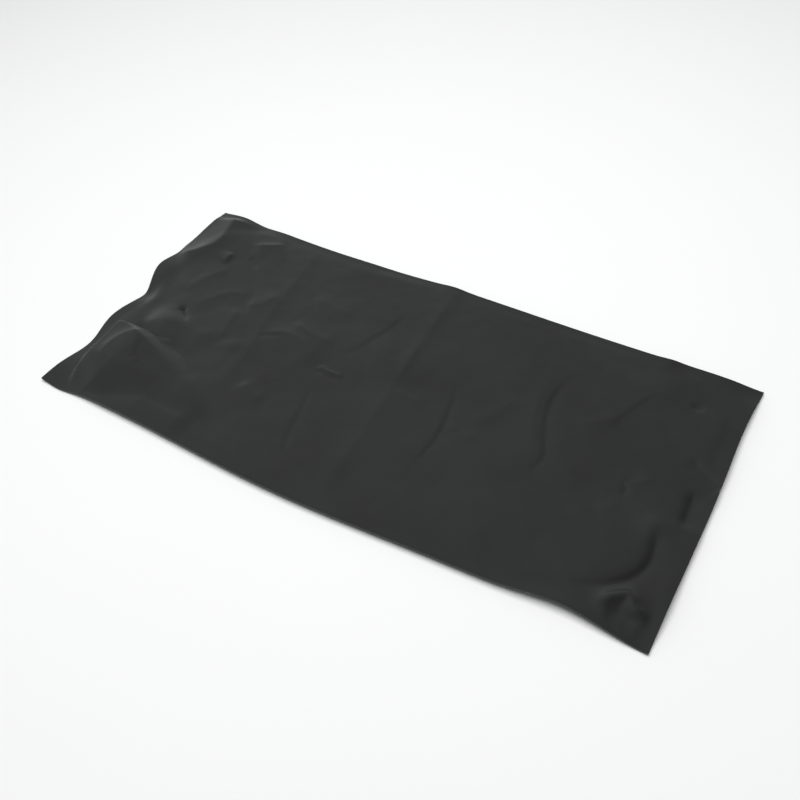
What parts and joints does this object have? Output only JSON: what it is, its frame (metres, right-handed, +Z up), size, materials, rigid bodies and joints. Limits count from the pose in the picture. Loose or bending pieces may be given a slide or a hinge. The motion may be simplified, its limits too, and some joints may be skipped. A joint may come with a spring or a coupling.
{
  "type": "seedling heat mat",
  "caption": "Thin rectangular propagation heat mat: a wired heating pad and flat junction housing sealed between two black vinyl films with a wavy welded border.",
  "frame": {"origin": "middle of the flat underside, on the bench", "axes": "+X along the mat's length, away from the cord's end; +Y across its width; +Z up, out of the upper film"},
  "size_m": [0.527, 0.258, 0.0171],
  "materials": {
    "vinyl_film": "black semi-matt vinyl film, creased from folding",
    "foam": "grey closed-cell foam",
    "foil": "bright plain foil",
    "fleece": "off-white needled fleece",
    "silicone": "dark red silicone insulation",
    "tinned_brass": "tinned",
    "sleeve": "cloudy shrink sleeve",
    "zinc_steel": "zinc plated",
    "brown_lead": "brown lead insulation",
    "blue_lead": "blue lead insulation",
    "nylon": "black moulded nylon",
    "gland_rubber": "matt black rubber"
  },
  "bodies": {
    "root": {"bottom_film": "vinyl_film", "top_film": "vinyl_film", "insulation_foam": "foam", "reflector_foil": "foil", "heater_fleece": "fleece", "heat_spreader_foil": "foil", "heating_wire": "silicone", "feed_splice_crimp": "tinned_brass", "feed_splice_sleeve": "sleeve", "return_splice_crimp": "tinned_brass", "return_splice_sleeve": "sleeve", "live_joint_crimp": "tinned_brass", "live_joint_sleeve": "sleeve", "neutral_joint_crimp": "tinned_brass", "neutral_joint_sleeve": "sleeve", "thermal_cutout": "zinc_steel", "cutout_sleeve": "sleeve", "feed_lead": "brown_lead", "return_lead": "blue_lead", "cutout_lead": "blue_lead", "junction_base": "nylon", "junction_lid": "nylon", "lid_screw_1": "zinc_steel", "lid_screw_2": "zinc_steel", "lid_screw_3": "zinc_steel", "lid_screw_4": "zinc_steel", "cord_clamp": "nylon", "clamp_screw_1": "zinc_steel", "clamp_screw_2": "zinc_steel", "cord_gland": "gland_rubber"}
  },
  "joints": []
}
